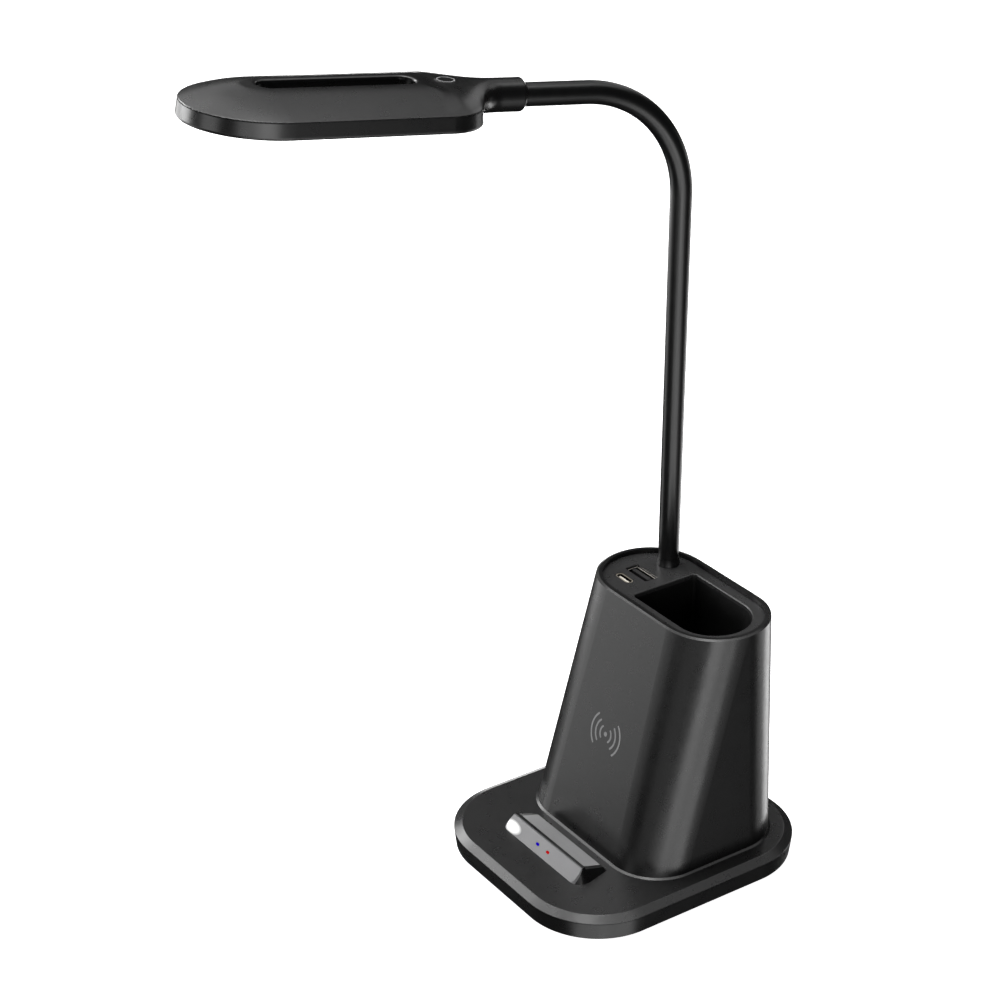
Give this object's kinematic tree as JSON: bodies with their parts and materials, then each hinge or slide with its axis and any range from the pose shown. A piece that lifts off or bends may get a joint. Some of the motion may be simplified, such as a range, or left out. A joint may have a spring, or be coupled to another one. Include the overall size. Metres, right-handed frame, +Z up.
{
  "type": "desk lamp",
  "caption": "Flexible-neck desk lamp on a weighted base with a leaning desk tidy: pen cup, charging ports, phone rest with wireless charging face and a slotted oval head.",
  "frame": {"origin": "centre of the base's underside, on the plane it stands on", "axes": "+Z up, -Y to the front (the phone rest), +X to the right along the front face"},
  "size_m": [0.1354, 0.2278, 0.3479],
  "materials": {
    "housing_plastic": "fine matte texture, near black",
    "sleeve_rubber": "soft matte sleeve, near black",
    "foot_rubber": "matte black",
    "rest_rubber": "matte mid grey",
    "ballast_steel": "plain",
    "fastener_steel": "zinc plated",
    "port_metal": "nickel plated",
    "port_plastic": "dark grey",
    "window_plastic": "satin light grey, translucent",
    "blue_lens": "clear lens, lit blue",
    "red_lens": "clear lens, lit red",
    "circuit_board": "solder mask",
    "component_plastic": "moulded black",
    "coil_copper": "enamelled copper wire",
    "ferrite": "sintered dark grey",
    "inner_plastic": "plain",
    "led_plate": "white coated",
    "led_resin": "phosphor yellow",
    "opal_plastic": "opal white, satin",
    "mark_plastic": "light grey"
  },
  "bodies": {
    "base": {"anti_slip_pad": "foot_rubber", "base_tray": "housing_plastic", "base_ballast": "ballast_steel", "base_top_shell": "housing_plastic", "base_screws": "fastener_steel", "body_shell": "housing_plastic", "deck_panel": "housing_plastic", "pen_cup": "housing_plastic", "usb_a_shell": "port_metal", "usb_a_tongue": "port_plastic", "usb_c_shell": "port_metal", "usb_c_tongue": "port_plastic", "usb_board": "circuit_board", "charging_coil": "coil_copper", "ferrite_sheet": "ferrite", "coil_bracket": "inner_plastic", "board_standoffs": "inner_plastic", "main_board": "circuit_board", "board_parts": "component_plastic", "power_inlet": "component_plastic", "phone_rest": "housing_plastic", "phone_rest_pad": "rest_rubber", "status_window": "window_plastic", "blue_indicator": "blue_lens", "red_indicator": "red_lens", "indicator_board": "circuit_board", "neck_collar": "housing_plastic", "neck_stud": "fastener_steel", "neck_washer": "fastener_steel", "neck_nut": "fastener_steel", "neck_foot": "sleeve_rubber"},
    "neck_1": {"neck_span_01": "sleeve_rubber"},
    "neck_2": {"neck_span_02": "sleeve_rubber"},
    "neck_3": {"neck_span_03": "sleeve_rubber"},
    "neck_4": {"neck_span_04": "sleeve_rubber"},
    "neck_5": {"neck_span_05": "sleeve_rubber"},
    "neck_6": {"neck_span_06": "sleeve_rubber"},
    "neck_7": {"neck_span_07": "sleeve_rubber"},
    "neck_8": {"neck_span_08": "sleeve_rubber"},
    "neck_9": {"neck_span_09": "sleeve_rubber"},
    "neck_10": {"neck_span_10": "sleeve_rubber"},
    "head": {"head_top_shell": "housing_plastic", "head_frame": "housing_plastic", "diffuser": "opal_plastic", "led_board": "led_plate", "leds": "led_resin", "touch_ring": "mark_plastic", "touch_board": "circuit_board", "head_screws": "fastener_steel", "head_ferrule": "fastener_steel", "head_grub_screw": "fastener_steel", "neck_span_11": "sleeve_rubber"}
  },
  "joints": [
    {"name": "lower_bend_1", "type": "hinge", "parent": "base", "child": "neck_1", "pos_m": [-0.0262, 0.0409, 0.128], "axis": [0.9907, -0.1357, 0], "range_deg": [-9, 9]},
    {"name": "side_lean_1", "type": "hinge", "parent": "neck_1", "child": "neck_2", "pos_m": [-0.0262, 0.0409, 0.158], "axis": [0.1357, 0.9907, 0], "range_deg": [-9, 9]},
    {"name": "lower_bend_2", "type": "hinge", "parent": "neck_2", "child": "neck_3", "pos_m": [-0.0262, 0.0409, 0.188], "axis": [0.9907, -0.1357, 0], "range_deg": [-9, 9]},
    {"name": "side_lean_2", "type": "hinge", "parent": "neck_3", "child": "neck_4", "pos_m": [-0.0262, 0.0409, 0.218], "axis": [0.1357, 0.9907, 0], "range_deg": [-9, 9]},
    {"name": "lower_bend_3", "type": "hinge", "parent": "neck_4", "child": "neck_5", "pos_m": [-0.0262, 0.0409, 0.248], "axis": [0.9907, -0.1357, 0], "range_deg": [-9, 9]},
    {"name": "upper_bend_1", "type": "hinge", "parent": "neck_5", "child": "neck_6", "pos_m": [-0.0262, 0.0409, 0.27724], "axis": [0.9907, -0.1357, 0], "range_deg": [-10, 10]},
    {"name": "upper_bend_2", "type": "hinge", "parent": "neck_6", "child": "neck_7", "pos_m": [-0.02696, 0.03534, 0.29984], "axis": [0.9907, -0.1357, 0], "range_deg": [-10, 10]},
    {"name": "upper_bend_3", "type": "hinge", "parent": "neck_7", "child": "neck_8", "pos_m": [-0.02907, 0.01994, 0.31719], "axis": [0.9907, -0.1357, 0], "range_deg": [-10, 10]},
    {"name": "upper_bend_4", "type": "hinge", "parent": "neck_8", "child": "neck_9", "pos_m": [-0.03204, -0.0017, 0.32525], "axis": [0.9907, -0.1357, 0], "range_deg": [-10, 10]},
    {"name": "head_swing_1", "type": "hinge", "parent": "neck_9", "child": "neck_10", "pos_m": [-0.03328, -0.0108, 0.32626], "axis": [0.0149, 0.1087, 0.994], "range_deg": [-10, 10]},
    {"name": "head_swing_2", "type": "hinge", "parent": "neck_10", "child": "head", "pos_m": [-0.03451, -0.01976, 0.32726], "axis": [0.0149, 0.1087, 0.994], "range_deg": [-10, 10]}
  ],
  "couplings": [
    {"joint": "lower_bend_2", "follows": "lower_bend_1", "ratio": 1},
    {"joint": "lower_bend_3", "follows": "lower_bend_1", "ratio": 1},
    {"joint": "side_lean_2", "follows": "side_lean_1", "ratio": 1},
    {"joint": "upper_bend_2", "follows": "upper_bend_1", "ratio": 1},
    {"joint": "upper_bend_3", "follows": "upper_bend_1", "ratio": 1},
    {"joint": "upper_bend_4", "follows": "upper_bend_1", "ratio": 1},
    {"joint": "head_swing_2", "follows": "head_swing_1", "ratio": 1}
  ]
}
